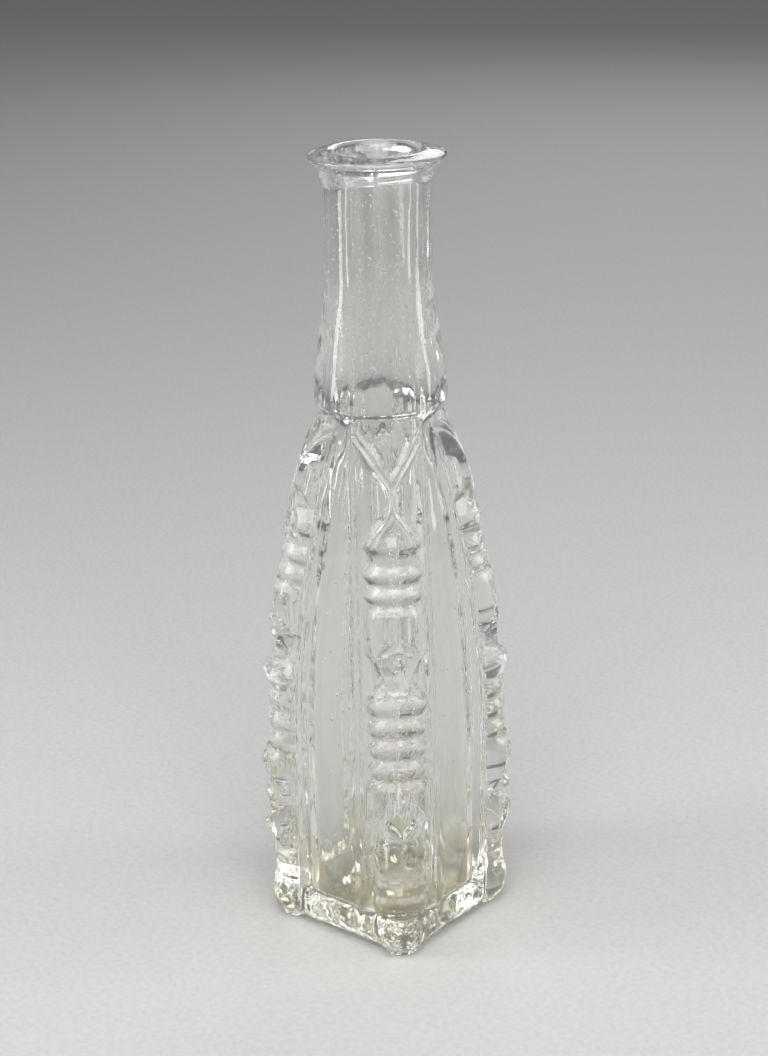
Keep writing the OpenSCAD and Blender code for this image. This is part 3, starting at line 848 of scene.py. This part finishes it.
# ---------------------------------------------------------------- materials
def glass_material():
    """Clear old glass: drawn-out waviness, frosted wear with a painted highlight on the upper faces, dust
    inside the neck, straw in the thick foot and dirt with painted shade on the lower half of the rings."""
    mat, nt, bsdf = new_material("clear_glass")
    bsdf.inputs["IOR"].default_value = 1.5
    coord, x, y, height = place(nt)
    drawn = bump(nt, noise(nt, coord, 380.0, 2.0, stretch=(1, 1, 0.12)), 0.2, 0.0004)
    nt.links.new(bump(nt, noise(nt, coord, 900.0, 2.0), 0.12, 0.0001, drawn), bsdf.inputs["Normal"])
    # handling haze, fine scratches and frosted wear in the roughness
    scratch = noise(nt, coord, 2600.0, 1.0, stretch=(1, 0.5, 0.06))
    rubbed = maths(nt, "MULTIPLY", noise(nt, coord, 60.0, 5.0, 0.6), scratch)
    wear_and_highlight = node(nt, "ShaderNodeAttribute", attribute_name="wear_and_highlight").outputs["Fac"]
    patchy = remap(nt, noise(nt, coord, 700.0, 4.0, 0.65), 0.32, 0.62, 0.35, 1.0)
    # this mask gives roughness and also the painted highlight on the upper faces
    frost_and_highlight = maths(nt, "MULTIPLY", wear_and_highlight, patchy)
    haze = remap(nt, rubbed, 0.2, 0.42, 0.0, 0.07)
    nt.links.new(maths(nt, "MULTIPLY_ADD", frost_and_highlight, 0.2, haze), bsdf.inputs["Roughness"])
    # dust and dried runs inside the neck, and the frosted wear, let less light through; on the upper faces
    # this whitening is a painted highlight
    in_bore = remap(nt, maths(nt, "SQRT", square_sum(nt, x, y)), 0.0070, 0.0074, 1.0, 0.0)
    inside = maths(nt, "MULTIPLY", in_bore, remap(nt, height, 0.094, 0.104, 0.0, 1.0))
    runs = remap(nt, noise(nt, coord, 330.0, 4.0, 0.6, (1, 1, 0.05)), 0.45, 0.75, 0.0, 0.45)
    specks = remap(nt, noise(nt, coord, 1500.0, 2.0), 0.64, 0.70, 0.0, 0.8)
    dust = maths(nt, "MULTIPLY", inside, maths(nt, "MAXIMUM", runs, specks))
    dust_and_highlight_scatter = maths(nt, "MAXIMUM", dust, maths(nt, "MULTIPLY", frost_and_highlight, 0.4))
    nt.links.new(maths(nt, "SUBTRACT", 1.0, dust_and_highlight_scatter), bsdf.inputs["Transmission Weight"])
    # faint grey cast, deeper in cloudy streaks, and straw where the foot is thick
    cloud = noise(nt, coord, 35.0, 4.0, 0.55, (1, 1, 0.22))
    tint = ramp(nt, cloud, [(0.3, (0.972, 0.976, 0.966)), (0.75, (0.935, 0.94, 0.922))])
    straw = stain(nt, tint, (1.0, 0.985, 0.90), remap(nt, height, 0.004, 0.016, 1.0, 0.0))
    # tan dirt in specks on the lower half of each ring, partly real dirt and partly painted shade on the
    # downward faces
    grime_and_shade = node(nt, "ShaderNodeAttribute", attribute_name="grime_and_shade").outputs["Fac"]
    specked = remap(nt, noise(nt, coord, 2300.0, 3.0, 0.6), 0.44, 0.58, 0.2, 1.0)
    dirt_and_shade = maths(nt, "MULTIPLY", maths(nt, "MULTIPLY", grime_and_shade, specked), 0.85)
    nt.links.new(stain(nt, straw, (0.36, 0.28, 0.15), dirt_and_shade), bsdf.inputs["Base Color"])
    return mat


def residue_material():
    """Straw-coloured dregs: densest round the foot of the walls, thinner on the floor, and above that
    only streaks that fade out."""
    mat, nt, bsdf = new_material("dried_residue")
    coord, x, y, height = place(nt)
    blotch = noise(nt, coord, 130.0, 7.0, 0.6)
    fine = noise(nt, coord, 900.0, 4.0, 0.7)
    runs = noise(nt, coord, 260.0, 3.0, stretch=(1, 1, 0.07))
    # the dregs climb higher in the corners than up the middle of the panels
    skew = maths(nt, "ABSOLUTE", maths(nt, "MULTIPLY", x, y))
    corner = remap(nt, maths(nt, "DIVIDE", skew, square_sum(nt, x, y)), 0.2, 0.48, 0.0, 0.0085)
    thick = remap(nt, maths(nt, "SUBTRACT", height, corner), 0.0060, 0.0125, 0.62, 0.0)
    total = maths(nt, "ADD", maths(nt, "MULTIPLY_ADD", fine, 0.35, blotch), thick)
    off_floor = remap(nt, height, 0.0055, 0.009, 0.35, 1.0)
    dregs = maths(nt, "MULTIPLY", remap(nt, total, 0.88, 1.22, 0.0, 0.5), off_floor)
    fading = remap(nt, height, 0.018, 0.045, 1.0, 0.0)
    streak = maths(nt, "MULTIPLY", remap(nt, runs, 0.54, 0.74, 0.0, 0.3), fading)
    nt.links.new(maths(nt, "MAXIMUM", dregs, streak), bsdf.inputs["Alpha"])
    tone = maths(nt, "MULTIPLY_ADD", thick, 0.35, blotch)
    stops = [(0.3, (0.94, 0.88, 0.66)), (0.55, (0.98, 0.94, 0.75)), (0.8, (1.0, 0.965, 0.80))]
    nt.links.new(ramp(nt, tone, stops), bsdf.inputs["Base Color"])
    bsdf.inputs["Transmission Weight"].default_value = 0.93
    bsdf.inputs["IOR"].default_value = 1.02
    bsdf.inputs["Roughness"].default_value = 0.6
    nt.links.new(bump(nt, fine, 0.4, 0.0002), bsdf.inputs["Normal"])
    return mat


def floor_material():
    """Plain pale board with a faint grain."""
    mat, nt, bsdf = new_material("studio_floor")
    coord = node(nt, "ShaderNodeTexCoord").outputs["Object"]
    grain = node(nt, "ShaderNodeTexNoise", Scale=900.0, Detail=3.0)
    nt.links.new(coord, grain.inputs["Vector"])
    shade = grain.outputs["Fac"]
    stops = [(0.35, (0.53, 0.53, 0.52)), (0.65, (0.57, 0.57, 0.56))]
    nt.links.new(ramp(nt, shade, stops), bsdf.inputs["Base Color"])
    nt.links.new(bump(nt, shade, 0.15, 0.0002), bsdf.inputs["Normal"])
    bsdf.inputs["Roughness"].default_value = 0.65
    bsdf.inputs["Specular IOR Level"].default_value = 0.3
    return mat


# ---------------------------------------------------------------- the pieces
BUBBLES, BUBBLE_SEED = 46, 21
verts, faces = build_glass()
verts, faces = add_bubbles(verts, faces, BUBBLES, BUBBLE_SEED)
glass = make_object("bottle_glass", verts, faces)
mark_skin(glass)
glass.data.materials.append(glass_material())
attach(glass, "root")
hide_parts("lip", "neck", "panel_front", "panel_right", "panel_back", "panel_left",
            "column_front_right", "column_back_right", "column_back_left", "column_front_left", "base")

verts, faces = build_residue()
residue = make_object("residue_film", verts, faces)
residue.data.materials.append(residue_material())
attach(residue, "root")
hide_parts("dried_residue")


# ---------------------------------------------------------------- floor, light and camera, in metres
FLOOR_R, FLOOR_DROP = 4.0, 0.00005  # the floor lies a hair under the glass, so that the two never coincide
bm = bmesh.new()
bmesh.ops.create_circle(bm, cap_ends=True, segments=96, radius=FLOOR_R)
mesh = bpy.data.meshes.new("studio_floor")
bm.to_mesh(mesh)
bm.free()
floor = bpy.data.objects.new("studio_floor", mesh)
bpy.context.scene.collection.objects.link(floor)
floor.location.z = -FLOOR_DROP
floor.data.materials.append(floor_material())

# the photograph's camera: where it stands, how it is turned, and its focal length and middle in pixels
AZIMUTH, PITCH, ROLL = 38.9, 20.0, 1.08
CAMERA_DISTANCE, CAMERA_HEIGHT = 0.3882, 0.2161
IMAGE_W, IMAGE_H = 768, 1056
FOCAL, CENTRE_X = 2330.0, 383.4
SENSOR = 36.0


def around(degrees, distance, height):
    """A place by its angle to the left (-) or right (+) of the camera's side of the bottle."""
    a = math.radians(AZIMUTH + degrees)
    return (math.sin(a) * distance, -math.cos(a) * distance, height)


def area(name, spot, target, size, power):
    """A lamp of that width and height that lights the target and isn't seen itself."""
    light = bpy.data.lights.new(name, "AREA")
    light.shape = "RECTANGLE"
    light.size, light.size_y = size
    light.energy = power
    obj = bpy.data.objects.new(name, light)
    bpy.context.scene.collection.objects.link(obj)
    obj.location = spot
    obj.visible_camera = False
    obj.rotation_euler = (Vector(target) - Vector(spot)).to_track_quat("-Z", "Y").to_euler()


# lamps: name, angle, distance, height, height that they point at, size, power
for name, angle, distance, height, aim, size, power in [
        ("softbox_top", 4, 0.2, 0.85, 0.07, (0.7, 0.36), 3.8),
        ("softbox_front", 0, 0.56, 0.68, 0.07, (0.6, 0.42), 3.6),
        ("softbox_left", -75, 0.75, 0.42, 0.07, (0.14, 0.5), 1.2),
        ("softbox_right", 80, 0.8, 0.38, 0.07, (0.14, 0.5), 0.8),
        ("softbox_back", 165, 0.9, 0.5, 0.07, (0.5, 0.3), 1.2),
        ("strip_left", -86, 0.3, 0.17, 0.12, (0.045, 0.3), 0.26),
        ("strip_right", 92, 0.34, 0.17, 0.12, (0.05, 0.3), 0.22)]:
    area(name, around(angle, distance, height), (0, 0, aim), size, power)

world = bpy.data.worlds.new("studio")
world.use_nodes = True
bpy.context.scene.world = world
world.node_tree.nodes["Background"].inputs["Color"].default_value = (0.15, 0.15, 0.149, 1)
world.node_tree.nodes["Background"].inputs["Strength"].default_value = 1.0


def add_camera():
    """The photograph's camera, turned to where it looked and rolled a little."""
    data = bpy.data.cameras.new("camera")
    data.lens = FOCAL / IMAGE_H * SENSOR
    data.sensor_width = SENSOR
    data.clip_start = 0.01
    data.shift_x = (IMAGE_W / 2 - CENTRE_X) / IMAGE_H
    camera = bpy.data.objects.new("camera", data)
    bpy.context.scene.collection.objects.link(camera)
    a, p, roll = math.radians(AZIMUTH), math.radians(PITCH), math.radians(ROLL)
    forward = Vector((-math.sin(a) * math.cos(p), math.cos(a) * math.cos(p), -math.sin(p)))
    right = Vector((math.cos(a), math.sin(a), 0))
    up = right.cross(forward)
    right_rolled = right * math.cos(roll) - up * math.sin(roll)
    up_rolled = up * math.cos(roll) + right * math.sin(roll)
    rotation = Matrix((right_rolled, up_rolled, -forward)).transposed()
    spot = Vector(around(0, CAMERA_DISTANCE, CAMERA_HEIGHT))
    camera.matrix_world = Matrix.Translation(spot) @ rotation.to_4x4()
    return camera


bpy.context.scene.camera = add_camera()
bpy.context.scene.view_settings.view_transform = "Standard"
# light has to pass many layers of glass and film, and through them onto the floor
cycles = bpy.context.scene.cycles
cycles.max_bounces = 24
cycles.transmission_bounces = 24
cycles.transparent_max_bounces = 32
cycles.glossy_bounces = 12
cycles.diffuse_bounces = 8
cycles.caustics_refractive = True
cycles.caustics_reflective = True
cycles.blur_glossy = 0.3
